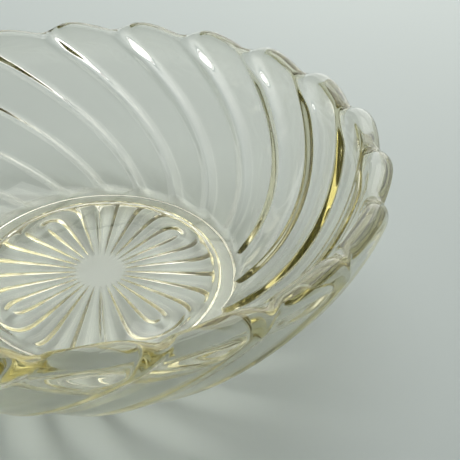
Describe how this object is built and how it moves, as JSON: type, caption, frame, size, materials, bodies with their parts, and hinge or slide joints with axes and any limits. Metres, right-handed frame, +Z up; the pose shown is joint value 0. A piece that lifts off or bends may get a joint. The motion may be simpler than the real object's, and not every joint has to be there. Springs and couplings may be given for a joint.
{
  "type": "glass bowl",
  "caption": "Shallow pressed-glass bowl with swirled flutes, a rounded scalloped rim, a foot ring and a star pressed into the underside of its base.",
  "frame": {"origin": "on the bowl's axis, in the plane that the foot ring stands on", "axes": "+Z up along the bowl's axis; +X at the start of one flute at the floor; the flutes climb counter-clockwise seen from above"},
  "size_m": [0.1808, 0.1808, 0.0581],
  "materials": {
    "clear_glass": "clear pressed glass, fire-polished, with a faint straw tint in its thickness"
  },
  "bodies": {
    "root": {"foot_ring": "clear_glass", "star_base": "clear_glass", "fluted_wall": "clear_glass", "scalloped_rim": "clear_glass"}
  },
  "joints": []
}
